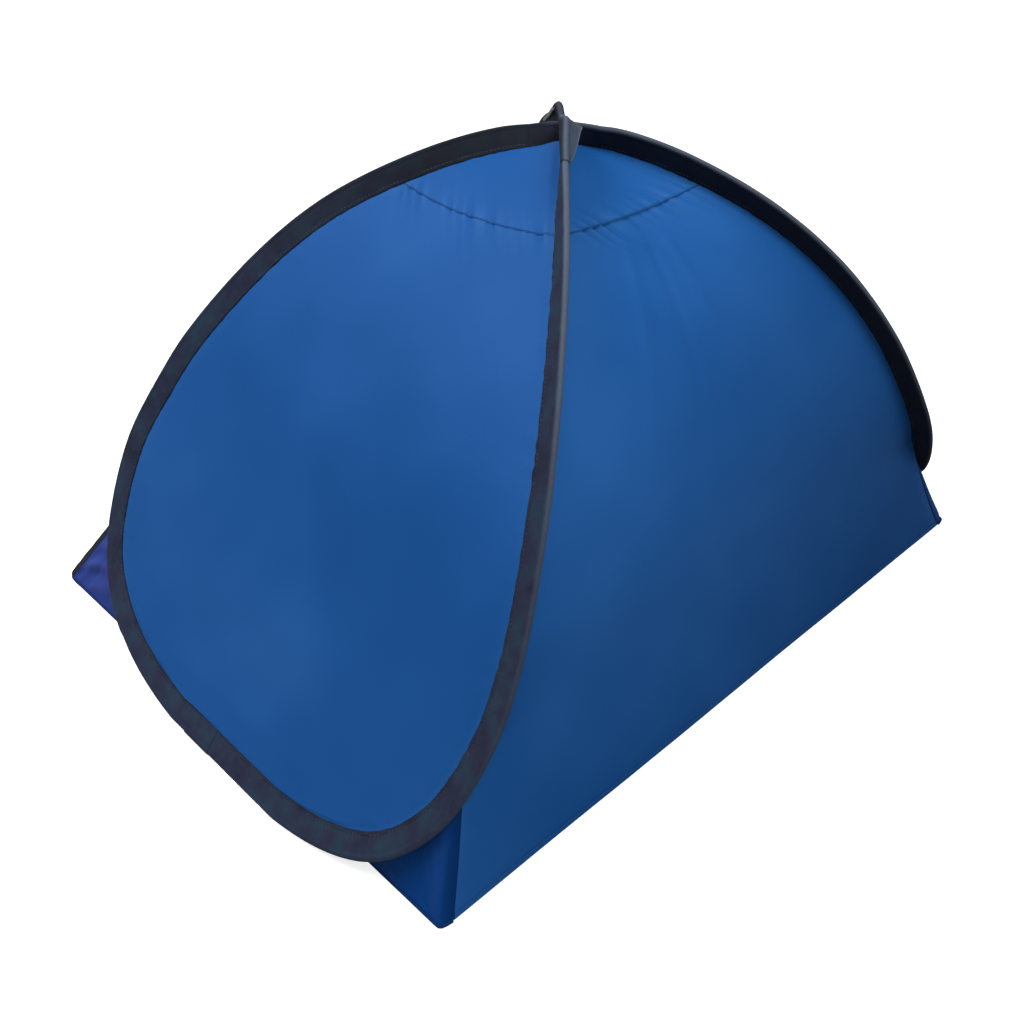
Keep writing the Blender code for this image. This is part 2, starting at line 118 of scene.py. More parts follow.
SEAM_POINTS = 27              # on the seam from the rear foot to the ground corner
SKIRT_ROWS = 240

FOLD_CENTRE = TAPE_WIDTH / 2 - CAD_FOLD_RADIUS


def unit(v):
    return v / np.maximum(np.linalg.norm(v, axis=-1, keepdims=True), 1e-12)


def ease(t):
    t = np.clip(t, 0.0, 1.0)
    return t * t * (3.0 - 2.0 * t)


def bell(x, width):
    return np.exp(-((x / width) ** 2))


def wiggle(x, pitch, seed):
    """An uneven wave, from -1 to 1."""
    bent = 2 * math.pi * x / pitch + 1.9 * np.sin(2 * math.pi * x / (pitch * 3.7) + seed)
    return np.sin(bent + 2.3 * seed) * (0.62 + 0.38 * np.sin(2 * math.pi * x / (pitch * 5.3) + seed))


def cloud(points, size, seed=0.0):
    """Smooth noise, about -1 to 1, of the given size in metres, at an array of points."""
    values = [noise.noise(Vector(p)) for p in points.reshape(-1, 3) / size + seed * 7.31]
    return np.array(values).reshape(points.shape[:-1])


def run_length(path):
    """Distance from its first point to each point of a path, or of every row of a grid."""
    steps = np.linalg.norm(np.diff(path, axis=-2), axis=-1)
    return np.concatenate([0 * steps[..., :1], np.cumsum(steps, axis=-1)], axis=-1)


def between(wanted, along, values):
    """Interpolates each column of values, which are given at the lengths in along."""
    return np.stack([np.interp(wanted, along, column) for column in values.T], axis=-1)


def resample(path, count):
    along = run_length(path)
    return between(np.linspace(0.0, along[-1], count), along, path)


def smooth_path(points, count):
    """Evenly spaced points on a Catmull-Rom curve through the given ones."""
    pts = [np.array(p, float) for p in points]
    pts = [2 * pts[0] - pts[1]] + pts + [2 * pts[-1] - pts[-2]]
    fine = []
    for a, b, c, d in zip(pts, pts[1:], pts[2:], pts[3:]):
        for t in np.linspace(0.0, 1.0, 40, endpoint=False):
            fine.append(0.5 * (2 * b + (c - a) * t + (2 * a - 5 * b + 4 * c - d) * t * t
                               + (3 * b - 3 * c + d - a) * t ** 3))
    fine.append(pts[-2])
    return resample(np.array(fine), count)


PROFILE_CURVE = smooth_path(PROFILE, 400)


def slope_height(x):
    return np.interp(x, PROFILE_CURVE[:, 0], PROFILE_CURVE[:, 1])


def slope_normal(x):
    low = np.clip(x - 0.002, 0.0, GROUND_X)
    high = np.clip(x + 0.002, 0.0, GROUND_X)
    fall = (slope_height(high) - slope_height(low)) / (high - low)
    return unit(np.stack([-fall, np.zeros_like(x), np.ones_like(x)], axis=1))


class Edge:
    """One lobe's tape line: down the rear leg, along the ground and up the front leg."""

    def __init__(self, side, upper_leg):
        self.side = side
        plan = smooth_path(OUTLINE, DENSE)
        x = np.minimum(plan[:, 0], GROUND_X)
        flat = resample(np.stack([x, plan[:, 1], slope_height(x)], axis=1), DENSE)
        x = flat[:, 0]
        self.along = run_length(flat)
        self.length = self.along[-1]
        share = np.linspace(0.0, 1.0, DENSE)
        from_crossing = self.along if upper_leg == "rear" else self.length - self.along
        flat[:, 2] += UPPER_LIFT * (1.0 - ease(from_crossing / LIFT_REACH))
        tangent = unit(np.gradient(flat, axis=0))
        outward_flat = unit(np.cross(slope_normal(x), tangent))
        normal = unit(np.cross(tangent, outward_flat))
        table = TAPE_LEAN[:-2] + UPRIGHT_END
        if upper_leg == "rear":
            table = UPRIGHT_START + TAPE_LEAN[1:]
        lean = np.radians(np.interp(share, *zip(*table)))[:, None]
        outward = np.cos(lean) * outward_flat + np.sin(lean) * normal
        mirror = np.array([side, 1.0, 1.0])
        self.x = x
        self.middle = flat * mirror
        self.tangent = tangent * mirror
        self.normal = normal * mirror
        self.outward = outward * mirror
        straight = np.nonzero(x >= GROUND_X - 1e-6)[0]
        self.ground = (self.along[straight[0]], self.along[straight[-1]])

    def at(self, lengths, what="middle"):
        return between(lengths, self.along, getattr(self, what))

    def length_at(self, x, leg):
        """Length along the edge where the leg passes slope position x."""
        if leg == "rear":
            stop = int(np.searchsorted(self.along, self.ground[0])) + 1
            return np.interp(x, self.x[:stop], self.along[:stop])
        start = int(np.searchsorted(self.along, self.ground[1]))
        return np.interp(x, self.x[start:][::-1], self.along[start:][::-1])

    def sewn(self, lengths, into=0.0):
        """The tape's sewn edge, or a line that far inside the tape."""
        return self.at(lengths) - unit(self.at(lengths, "outward")) * (TAPE_WIDTH / 2 - into)

    def frames(self, lengths):
        out = unit(self.at(lengths, "outward"))
        across = unit(np.cross(self.at(lengths, "tangent"), out))
        return self.at(lengths), out, across


RIGHT = Edge(1.0, "rear")
LEFT = Edge(-1.0, "front")
LOBES = {"right": RIGHT, "left": LEFT}
SEEDS = {"right": 0.0, "left": 5.0}             # where each lobe's uneven waves start


# --- meshes ---
def make_object(name, verts, faces, mat, sharp=50):
    """Links a mesh with its faces turned outwards. It keeps its rest shape for the materials."""
    verts = np.asarray(verts, float)
    tri = np.array([[f[0], f[1], f[2]] for f in faces] + [[f[0], f[2], f[-1]] for f in faces])
    a, b, c = (verts[tri[:, k]] for k in range(3))
    if np.sum(a * np.cross(b, c)) < 0.0:
        faces = [tuple(reversed(f)) for f in faces]
    mesh = bpy.data.meshes.new(name)
    mesh.from_pydata(verts.tolist(), [], [tuple(int(i) for i in f) for f in faces])
    mesh.shade_smooth()
    mesh.set_sharp_from_angle(angle=math.radians(sharp))
    mesh.materials.append(mat)
    obj = bpy.data.objects.new(name, mesh)
    bpy.context.collection.objects.link(obj)
    return put(obj, "rest", verts)


def put(obj, name, values):
    """Stores one number or one vector for each point of the mesh."""
    values = np.asarray(values, np.float32)
    kind, key = ("FLOAT", "value") if values.ndim == 1 else ("FLOAT_VECTOR", "vector")
    obj.data.attributes.new(name, kind, "POINT").data.foreach_set(key, values.ravel())
    return obj


def grid_faces(rows, cols, start=0, wrap=False):
    faces = []
    for i in range(rows - 1):
        for j in range(cols if wrap else cols - 1):
            n = (j + 1) % cols
            faces.append((start + i * cols + j, start + i * cols + n,
                          start + (i + 1) * cols + n, start + (i + 1) * cols + j))
    return faces


def tube_faces(rings, cols):
    """The sides of a closed tube and its two end faces."""
    last = (rings - 1) * cols
    return grid_faces(rings, cols, wrap=True) + [tuple(range(cols)),
                                                 tuple(range(last, last + cols))[::-1]]


def tube(name, centre, one, two, sides, mat):
    """A closed tube round a line; one and two reach from the line to the tube's sides."""
    turns = np.linspace(0.0, 2 * math.pi, sides + 1)[:-1]
    rings = np.stack([centre + one * math.cos(t) + two * math.sin(t) for t in turns], axis=1)
    return make_object(name, rings.reshape(-1, 3), tube_faces(len(centre), sides), mat)


def grid_normals(grid):
    down = np.gradient(grid, axis=0)
    over = np.gradient(grid, axis=1)
    return unit(np.cross(down, over))


def fan(obj):
    """Bakes obj's transform into its mesh."""
    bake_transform(obj)
    return obj


def cloth_sheet(name, grid, weave, mat, thickness=CLOTH, **fields):
    """A closed thin sheet from a grid of points, with its flat cloth position at each point."""
    rows, cols = grid.shape[:2]
    lift = grid_normals(grid) * thickness / 2
    verts = np.concatenate([(grid + lift).reshape(-1, 3), (grid - lift).reshape(-1, 3)])
    count = rows * cols
    faces = grid_faces(rows, cols)
    faces += [tuple(reversed([i + count for i in f])) for f in grid_faces(rows, cols)]
    place = np.arange(count).reshape(rows, cols)
    rim = [*place[0], *place[1:, -1], *place[-1, -2::-1], *place[-2:0:-1, 0]]
    for one, two in zip(rim, rim[1:] + rim[:1]):
        faces.append((two, one, one + count, two + count))
    obj = make_object(name, verts, faces, mat)
    put(obj, "weave", np.tile(weave.reshape(-1, 3), (2, 1)))
    for key, values in fields.items():
        put(obj, key, np.tile(values.reshape(-1), 2))
    return obj


def weave_of(grid):
    """Flat cloth position of each grid point: across from the middle column, and down it."""
    middle = grid.shape[1] // 2
    across = run_length(grid)
    across -= across[:, middle:middle + 1]
    down = run_length(grid[:, middle])[:, None] + 0 * across
    return np.stack([across, down, np.zeros_like(down)], axis=2)


# --- materials ---
def new_material(name, roughness, sheen=0.0, metallic=0.0, specular=0.5):
    mat = bpy.data.materials.new(name)
    mat.use_nodes = True
    shader = mat.node_tree.nodes["Principled BSDF"]
    for key, value in (("Roughness", roughness), ("Metallic", metallic), ("Sheen Weight", sheen),
                       ("Specular IOR Level", specular), ("Sheen Roughness", 0.45)):
        shader.inputs[key].default_value = value
    return mat, mat.node_tree, shader


def feed(tree, socket, value):
    """Sets a socket to a number or to a colour, or links another node's output to it."""
    if isinstance(value, bpy.types.NodeSocket):
        tree.links.new(value, socket)
    else:
        socket.default_value = (*value, 1.0) if isinstance(value, tuple) else value


def add(tree, kind, **values):
    node = tree.nodes.new("ShaderNode" + kind)
    for key, value in values.items():
        if key in node.inputs:
            feed(tree, node.inputs[key], value)
        else:
            setattr(node, key, value)
    return node


def attribute(tree, name, output="Fac"):
    return add(tree, "Attribute", attribute_name=name).outputs[output]


def noise_node(tree, vector, scale, detail=3.0, roughness=0.55):
    return add(tree, "TexNoise", Vector=vector, Scale=scale, Detail=detail,
               Roughness=roughness).outputs["Fac"]


def ramp(tree, value, stops):
    node = add(tree, "ValToRGB", Fac=value)
    elements = node.color_ramp.elements
    while len(elements) < len(stops):
        elements.new(0.5)
    for element, (at, colour) in zip(elements, stops):
        element.position = at
        element.color = (*colour, 1.0)
    return node.outputs["Color"]


def math_node(tree, operation, a, b=0.0):
    node = add(tree, "Math", operation=operation)
    for socket, value in zip(node.inputs, (a, b)):
        feed(tree, socket, value)
    return node.outputs["Value"]


def times(tree, a, b):
    return math_node(tree, "MULTIPLY", a, b)


def map_range(tree, value, low, high, to_low=0.0, to_high=1.0):
    node = add(tree, "MapRange", Value=value)
    for name, number in zip(("From Min", "From Max", "To Min", "To Max"),
                            (low, high, to_low, to_high)):
        node.inputs[name].default_value = number
    return node.outputs["Result"]


def mix(tree, factor, one, two):
    node = add(tree, "Mix", data_type="RGBA")
    for k, value in ((0, factor), (6, one), (7, two)):
        feed(tree, node.inputs[k], value)
    return node.outputs[2]


def threads(tree, weave, pitch):
    """A plain weave: 0 to 1, high where a warp or weft thread is on top."""
    scale = 2 * math.pi / (20.0 * pitch)
    waves = []
    for direction in ("X", "Y"):
        wave = add(tree, "TexWave", Vector=weave, Scale=scale, bands_direction=direction)
        waves.append(wave.outputs["Fac"])
    return times(tree, waves[0], waves[1])


def set_bump(tree, shader, height, strength, distance):
    bump = add(tree, "Bump", Strength=strength, Distance=distance, Height=height)
    tree.links.new(bump.outputs["Normal"], shader.inputs["Normal"])


def fabric(name, light, base, dark, highlight_colour, front=None, shade=None):
    """Coated polyester: a fine plain weave and uneven dye, with painted highlight on its creases and
    painted shade.

    front holds two colours of its front end; shade holds the most painted shade, darker towards the
    bottom and the far side, and the slants where it starts and ends.
    """
    mat, tree, shader = new_material(name, FABRIC_ROUGHNESS, 0.01, specular=0.07)
    weave = attribute(tree, "weave", "Vector")
    rest = attribute(tree, "rest", "Vector")
    broad = noise_node(tree, rest, 5.0, 2.0)
    colour = ramp(tree, broad, [(0.30, dark), (0.52, base), (0.72, light)])
    place = add(tree, "SeparateXYZ", Vector=rest)
    if front:
        ahead = map_range(tree, place.outputs["Y"], 0.10, -0.20)
        dyed = ramp(tree, broad, [(0.35, front[1]), (0.65, front[0])])
        colour = mix(tree, ahead, colour, dyed)
    # painted shade: darker towards the bottom and the far side
    if shade:
        most, high, low = shade
        slant = math_node(tree, "ADD", times(tree, place.outputs["X"], 0.55), place.outputs["Z"])
        shaded = map_range(tree, slant, high, low, 0.0, most)
        colour = mix(tree, shaded, colour, tuple(c * 0.35 for c in dark))
    mottle = noise_node(tree, weave, 420.0, 4.0, 0.7)
    colour = mix(tree, 0.10, colour, ramp(tree, mottle, [(0.35, dark), (0.70, light)]))
    # painted highlight: paler on the raised creases and along the sewn edges
    colour = mix(tree, times(tree, attribute(tree, "crease"), 0.45), colour, highlight_colour)
    # painted shade: darker along the seam lines
    groove = times(tree, attribute(tree, "groove"), 0.85)
    colour = mix(tree, groove, colour, tuple(c * 0.25 for c in dark))
    tree.links.new(colour, shader.inputs["Base Color"])
    rough = map_range(tree, noise_node(tree, rest, 14.0), 0.0, 1.0, FABRIC_ROUGHNESS - 0.08,
                      FABRIC_ROUGHNESS + 0.10)
    tree.links.new(rough, shader.inputs["Roughness"])
    weft = threads(tree, weave, 0.0007)
    set_bump(tree, shader, math_node(tree, "ADD", weft, mottle), 0.22, 0.00012)
    return mat


def webbing(name, stops, worn_and_lit, rib=0.0011):
    """Woven polyester tape: ribs across its length, mottled dye, a paler fold that is part abrasion and
    part painted highlight, and painted shade.
    """
    mat, tree, shader = new_material(name, 0.78, 0.03, specular=0.22)
    weave = attribute(tree, "weave", "Vector")
    rest = attribute(tree, "rest", "Vector")
    patch = noise_node(tree, rest, 38.0, 4.0, 0.6)
    colour = ramp(tree, patch, stops)
    fuzz = noise_node(tree, weave, 900.0, 3.0, 0.7)
    pale_fold_here = times(tree, attribute(tree, "wear"), math_node(tree, "ADD", fuzz, 0.35))
    pale_fold_here = times(tree, pale_fold_here, PALE_FOLD_SHARE)
    # painted shade: darker along the sewn edge and stitch line, and where the shadow share is painted
    dimmed = times(tree, attribute(tree, "groove"), 0.8)
    dimmed = math_node(tree, "MAXIMUM", dimmed, attribute(tree, "shadow"))
    colour = mix(tree, dimmed, colour, tuple(c * 0.28 for c in stops[0][1]))
    # the pale fold: part abrasion, part painted highlight
    colour = mix(tree, pale_fold_here, colour, worn_and_lit)
    tree.links.new(colour, shader.inputs["Base Color"])
    ribs = add(tree, "TexWave", Vector=weave, Scale=2 * math.pi / (20.0 * rib), Distortion=0.4,
               bands_direction="X")
    set_bump(tree, shader, math_node(tree, "ADD", ribs.outputs["Fac"], fuzz), 0.5, 0.00022)
    return mat


def thread(name, colour):
    mat, tree, shader = new_material(name, 0.6, 0.2)
    rest = attribute(tree, "rest", "Vector")
    pale = tuple(min(1.0, c * 1.6 + 0.01) for c in colour)
    tree.links.new(ramp(tree, noise_node(tree, rest, 700.0), [(0.3, colour), (0.7, pale)]),
                   shader.inputs["Base Color"])
    return mat


def drawn_steel(name):
    mat, tree, shader = new_material(name, 0.34, 0.0, 1.0)
    place = add(tree, "TexCoord").outputs["Object"]
    tree.links.new(ramp(tree, noise_node(tree, place, 60.0), [(0.3, (0.36, 0.37, 0.39)),
                                                              (0.7, (0.52, 0.53, 0.55))]),
                   shader.inputs["Base Color"])
    set_bump(tree, shader, noise_node(tree, place, 900.0), 0.2, 0.00005)
    return mat


# painted light and shade: side, rear and skirt are one fabric in copies of different brightness, the
# skirt darkest as shade under the lobes; the skirt is also paler and more violet towards its front end
SIDE_FABRIC = fabric("side_fabric", (0.020, 0.120, 0.395), (0.012, 0.098, 0.350),
                     (0.008, 0.084, 0.305), highlight_colour=(0.045, 0.170, 0.460), shade=(0.38, 0.44, 0.18))
REAR_FABRIC = fabric("rear_fabric", (0.028, 0.162, 0.520), (0.019, 0.137, 0.460),
                     (0.009, 0.110, 0.395), highlight_colour=(0.050, 0.200, 0.550), shade=(0.78, 0.38, -0.10))
SKIRT_FABRIC = fabric("skirt_fabric", (0.002, 0.062, 0.260), (0.001, 0.050, 0.225),
                      (0.0005, 0.040, 0.190), highlight_colour=(0.07, 0.10, 0.38),
                      front=((0.040, 0.072, 0.340), (0.020, 0.040, 0.235)))
EDGE_TAPE = webbing("edge_tape", [(0.30, (0.009, 0.015, 0.033)), (0.46, (0.018, 0.022, 0.055)),
                                  (0.60, (0.014, 0.036, 0.066)), (0.78, (0.032, 0.032, 0.076))],
                    worn_and_lit=(0.20, 0.25, 0.33))
FLAP_BINDING = webbing("flap_binding", [(0.30, (0.008, 0.008, 0.011)), (0.70, (0.022, 0.023, 0.030))],
                       worn_and_lit=(0.11, 0.12, 0.14), rib=0.0009)
NAVY_THREAD = thread("navy_thread", (0.020, 0.024, 0.045))
BLUE_THREAD = thread("blue_thread", (0.018, 0.060, 0.180))
STEEL = drawn_steel("spring_steel")


# --- edge tapes ---
def tape_profile(radius=FOLD_RADIUS, sewn_at=-TAPE_WIDTH / 2):
    """(outward, across) points of the folded webbing: round its outside, then back inside."""
    inner = -TAPE_WIDTH / 2
    flat = [(inner, 0.00080), (inner + 0.0005, 0.00110), (inner + 0.0020, 0.00125),
            (inner + 0.0030, 0.00112), (inner + 0.0040, 0.00132), (inner + 0.0070, 0.00180),
            (-0.0010, 0.00215), (0.0020, 0.00245), (0.0042, 0.00268)]
    squeeze = (FOLD_CENTRE - sewn_at) / (FOLD_CENTRE - inner)
    flat = [(FOLD_CENTRE - (FOLD_CENTRE - a) * squeeze, b) for a, b in flat]
    arc = np.radians([126, 104, 82, 60, 38, 13])
    top = flat + [(FOLD_CENTRE + radius * math.cos(t), radius * math.sin(t)) for t in arc]
    thin = radius - PLY
    under = [(a, b - PLY) for a, b in flat]
    under += [(FOLD_CENTRE + thin * math.cos(t), thin * math.sin(t)) for t in arc]
    outside = top + [(a, -b) for a, b in reversed(top)]
    inside = under + [(a, -b) for a, b in reversed(under)]
    return np.array(outside + inside[::-1])


def tape_tone(points):
    """Shares of painted shadow and of a pale fold: the left lobe's tape is painted dark as shade, as is
    the right one's front leg near the crossing; the right one's rear leg is pale, part abrasion and
    part painted highlight.
    """
    x, y = points[:, 0], points[:, 1]
    shadow = np.maximum(0.80 * ease((0.04 - x) / 0.08), 0.80 * ease((0.24 - x) / 0.18)
                        * ease((CROSSING_Y - y) / 0.02))
    # the pale fold: 0.35 everywhere as abrasion, more as painted highlight on the rear legs near the
    # top
    worn_and_lit = 0.35 + 0.95 * ease((y - CROSSING_Y + 0.02) / 0.06) * ease((0.30 - x) / 0.20) \
        * ease((x + 0.06) / 0.08)
    worn_and_lit += 0.80 * ease((-x - 0.02) / 0.03) * ease((y - 0.05) / 0.02) * ease((0.30 + x) / 0.12)
    return shadow, worn_and_lit


def sweep_tape(name, frames, lengths, mat, radius=None, sewn_at=None, seed=0.0):
    """Sweeps the folded webbing along frames, with small puckers along its sewn edge."""
    points, out, across = frames
    count = len(points)
    radius = np.full(count, FOLD_RADIUS) if radius is None else radius
    sewn_at = np.full(count, -TAPE_WIDTH / 2) if sewn_at is None else sewn_at
    shape = np.array([tape_profile(r, s) for r, s in zip(radius, sewn_at)])
    a, b = shape[:, :, 0], shape[:, :, 1]
    rim = np.clip((FOLD_CENTRE - 0.002 - a) / (TAPE_WIDTH - 0.004), 0.0, 1.0)
    shadow, worn_and_lit = tape_tone(points)
    s = lengths[:, None]
    b = b + PUCKER * rim ** 2 * wiggle(s, PUCKER_PITCH, seed + 0.4)
    b = b + 0.00032 * rim * wiggle(s + 0.8 * a, 0.031, seed + 1.7)
    a = a + 0.00010 * rim * wiggle(s, 0.021, seed + 2.9)
    grain = np.stack([s + 0 * a, a, b], axis=2)
    swell = 1.0 + 0.10 * cloud(grain, 0.012, seed)
    grid = points[:, None] + out[:, None] * a[..., None] + across[:, None] * (b * swell)[..., None]
    cols = shape.shape[1]
    faces = grid_faces(count, cols, wrap=True)
    half = cols // 2
    for ring in (0, count - 1):
        for j in range(half - 1):
            faces.append((ring * cols + j, ring * cols + j + 1,
                          ring * cols + cols - 2 - j, ring * cols + cols - 1 - j))
    obj = make_object(name, grid.reshape(-1, 3), faces, mat)
    put(obj, "weave", np.stack([s + 0 * a, a + 3 * b, b], axis=2).reshape(-1, 3))
    # the fold's outer line is paler: part abrasion, part painted highlight
    wear = bell(a - FOLD_CENTRE - FOLD_RADIUS, 0.0013) * worn_and_lit[:, None]
    put(obj, "wear", np.clip(wear, 0, 1).reshape(-1))
    put(obj, "shadow", np.clip(shadow[:, None] + 0 * a, 0, 1).reshape(-1))
    # painted shade: dark lines at the tape's sewn edge and along its stitch line
    groove = 0.8 * bell(a + TAPE_WIDTH / 2 - STITCH_IN, 0.0005) + 0.9 * bell(a + TAPE_WIDTH / 2, 0.0010)
    put(obj, "groove", np.clip(groove, 0, 1).reshape(-1))
    return obj


def stitches(name, path, up, mat, pitch=0.0036, long=0.0026, thick=0.00032, shares=None):
    """A row of stitches along a path. Each one is a small rounded bar lying on the cloth."""
    along = run_length(path)
    count = int(along[-1] / pitch) - 1
    centres = (np.arange(count) + 1.0) * pitch
    ends = [between(centres + shift * long, along, path) for shift in (-0.5, -0.34, 0.0, 0.34, 0.5)]
    raised = unit(between(centres, along, up))
    tangent = unit(ends[-1] - ends[0])
    aside = unit(np.cross(tangent, raised))
    rings = []
    for centre, size, lift in zip(ends, (0.45, 0.9, 1.0, 0.9, 0.45), (0.1, 0.5, 0.7, 0.5, 0.1)):
        for turn in range(6):
            angle = turn * math.pi / 3
            rings.append(centre + raised * thick * (lift + 0.6 * size * math.sin(angle))
                         + aside * thick * 0.8 * size * math.cos(angle))
    verts = np.stack(rings, axis=1).reshape(-1, 3)
    faces = [tuple(i + 30 * k for i in f) for k in range(count) for f in tube_faces(5, 6)]
    obj = make_object(name, verts, faces, mat, sharp=80)
    if shares is not None:
        fan(obj)
    return obj


def lobe_tape(word, edge, ferrule=False):
    lengths = np.arange(CROSSING_CUT, edge.length - CROSSING_CUT, 0.0026)
    lengths = np.append(lengths, edge.length - CROSSING_CUT)
    frames = edge.frames(lengths)
    share = (lengths - CROSSING_CUT) / (edge.length - 2 * CROSSING_CUT)
    radius = np.full(len(lengths), FOLD_RADIUS)
    if ferrule:
        away = np.abs(share - FERRULE_AT) * edge.length
        radius += 0.0007 * (1.0 - ease((away - 0.012) / 0.012))
    seed = SEEDS[word]
    obj = sweep_tape(word + "_tape", frames, lengths, EDGE_TAPE, radius, seed=seed)
    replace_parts(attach(obj, word + "_lobe"), word + "_edge_tape")
    points, out, across = frames
    for label, sign in (("outer", 1.0), ("inner", -1.0)):
        wave = PUCKER * 0.55 * wiggle(lengths, PUCKER_PITCH, seed + 0.4)[:, None]
        line = points - out * (TAPE_WIDTH / 2 - STITCH_IN) + across * (sign * 0.00090 + wave)
        row = stitches(f"{word}_tape_stitches_{label}", line, across * sign, NAVY_THREAD)
        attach(row, word + "_lobe")


def overlap_piece():
    """The tape's free end, lapped over its start and cut at a slant."""
    length = RIGHT.length - 2 * CROSSING_CUT
    middle = CROSSING_CUT + OVERLAP_AT * length
    a, b = tape_profile()[:30].T
    end = np.linspace(0.0, 1.0, 13)[:, None]
    slant = 0.5 * (a + TAPE_WIDTH / 2) * np.where(end > 0.5, 1.0, 0.3) * (2 * end - 1)
    lift = 0.00032 * np.where(end > 0.08, 1.0, 0.2)
    away = unit(np.stack([np.maximum(a - FOLD_CENTRE, 0.0), b], axis=1))
    place, out, across = RIGHT.frames(middle + 0.024 * (end - 0.5) + slant)
    grid = (place + out * (a + lift * away[:, 0])[..., None]
            + across * (b + lift * away[:, 1])[..., None])
    # its fold is paler: part abrasion, part painted highlight
    obj = cloth_sheet("tape_end", grid, weave_of(grid), EDGE_TAPE, 0.0007,
                      wear=0.4 * bell(a - FOLD_CENTRE - FOLD_RADIUS, 0.0013) + 0 * end,
                      groove=np.zeros(grid.shape[:2]))
    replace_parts(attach(obj, "right_lobe"), "tape_overlap")


# --- the crossing ---
def strand_end(edge, leg):
    at = CROSSING_CUT if leg == "rear" else edge.length - CROSSING_CUT
    at = np.array([at])
    tangent = unit(edge.at(at, "tangent"))[0]
    return edge.at(at)[0], unit(edge.at(at, "outward"))[0], -tangent if leg == "rear" else tangent


def crossing_frames(start, end, count, drop):
    (p0, out0, dir0), (p1, out1, dir1) = start, end
    reach = np.linalg.norm(p1 - p0)
    t = np.linspace(0.0, 1.0, count)[:, None]
    m0, m1 = dir0 * reach, -dir1 * reach
    points = ((2 * t ** 3 - 3 * t ** 2 + 1) * p0 + (t ** 3 - 2 * t ** 2 + t) * m0
              + (3 * t ** 2 - 2 * t ** 3) * p1 + (t ** 3 - t ** 2) * m1)
    points = points - np.array([0.0, 0.0, drop]) * np.sin(math.pi * t) ** 2
    tangents = unit(np.gradient(points, axis=0))
    tangents[0], tangents[-1] = dir0, -dir1
    out = (1 - t) * out0 + t * out1
    out = unit(out - tangents * np.sum(out * tangents, axis=1, keepdims=True))
    return points, out, unit(np.cross(tangents, out))


def crossing(name, start, end, from_right, pinch, drop):
    count = 45
    frames = crossing_frames(start, end, count, drop)
    t = np.linspace(0.0, 1.0, count)
    away = np.abs(2 * t - 1.0)
    held = pinch * (1.0 - 0.6 * ease((t - 0.45) / 0.15))
    sewn_at = -TAPE_WIDTH / 2 + held * (1.0 - ease((away - 0.3) / 0.6))
    lengths = t * np.linalg.norm(np.diff(frames[0], axis=0), axis=1).sum()
    obj = sweep_tape("crossing_" + name, frames, lengths, EDGE_TAPE, sewn_at=sewn_at, seed=9.0)
    shares = ease(1.0 - t) if from_right else ease(t)
    fan(obj)
    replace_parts(obj, "crossing_tape_" + name)
    points, out, across = frames
    wire = tube("crossing_" + name + "_wire", points + out * FOLD_CENTRE, out * WIRE_RADIUS,
                across * WIRE_RADIUS, 12, STEEL)
    fan(wire)
    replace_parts(wire, "crossing_wire_" + name)
    return frames, shares


def tie(frames):
    """A slim leaf of tape folded over the upper strand; one wing lies out over the lower one."""
    before = 9
    near = RIGHT.frames(np.linspace(CROSSING_CUT + LEAF_REACH, CROSSING_CUT, before + 1)[:-1])
    points, out, across = (np.concatenate([a, b[:LEAF_END]]) for a, b in zip(near, frames))
    across[:before] *= -1.0
    radius = FOLD_RADIUS + 0.0005
    legs = 15
    signed = np.arange(-legs, legs + 1) / legs
    wide = signed > 0
    reach = np.abs(signed)
    down = np.maximum(reach - 0.3, 0.0) / 0.7
    turn = np.minimum(reach / 0.3, 1.0) * math.pi * np.where(wide, 0.36, 0.5)
    t = np.linspace(0.0, 1.0, len(points))[:, None]
    bulge = np.sin(math.pi * t ** 0.75) ** 1.25
    wave = 0.0005 * np.sin(11.0 * t + 2.0 * np.sign(signed)) * down
    a = FOLD_CENTRE + radius * np.cos(turn) - np.where(wide, 0.0, 0.0012 + 0.0070 * bulge) * down
    b = np.sign(signed) * radius * np.sin(turn) + np.where(wide, wave, -wave)
    wing = np.where(wide, 0.0008 + LEAF_WIDTH * bulge, 0.0) * down
    grid = (points[:, None] + out[:, None] * a[..., None] + across[:, None] * b[..., None]
            + LEAF_WAY * wing[..., None])
    # painted highlight on the leaf's fold, tip and wide wing; painted shade on its narrow wing
    pale = 1.2 * bell(reach, 0.10) + 0.7 * bell(signed - 1.0, 0.09) + 0.42 * (signed > 0.1)
    dark = 0.75 * (signed < -0.12) * np.ones(len(reach))
    shape = np.ones((len(grid), 1))
    obj = cloth_sheet("tie_leaf", grid, weave_of(grid), EDGE_TAPE, 0.0006,
                      wear=np.clip(pale, 0, 1) * shape, shadow=dark * shape,
                      groove=np.zeros(grid.shape[:2]))
    fan(obj)
    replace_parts(obj, "tie_patch")


# --- fabric panels ---
def march(start, stop, seam, fine=0.0012, coarse=0.0048, reach=0.030):
    """Lengths from start to stop, close together near the seam."""
    values = [start]
    while values[-1] < stop:
        away = abs(values[-1] - seam)
        values.append(values[-1] + fine + (coarse - fine) * min(1.0, away / reach))
    values = np.array(values)
    values = start + (values - start) * (stop - start) / (values[-1] - start)
    return np.sort(np.append(values[np.abs(values - seam) > fine * 0.6], seam))


def span(start, stop, inner_start, inner_stop, columns):
    """Grid of straight columns between two edges, with one more column inside each tape."""
    t = np.linspace(0.0, 1.0, columns)
    body = start[:, None] + (stop - start)[:, None] * t[None, :, None]
    return np.concatenate([inner_start[:, None], body, inner_stop[:, None]], axis=1)


def edge_distance(grid):
    """Distance of each grid point from the sewn edges at the two ends of its row."""
    along = run_length(grid)
    return along - along[:, 1:2], along[:, -2:-1] - along


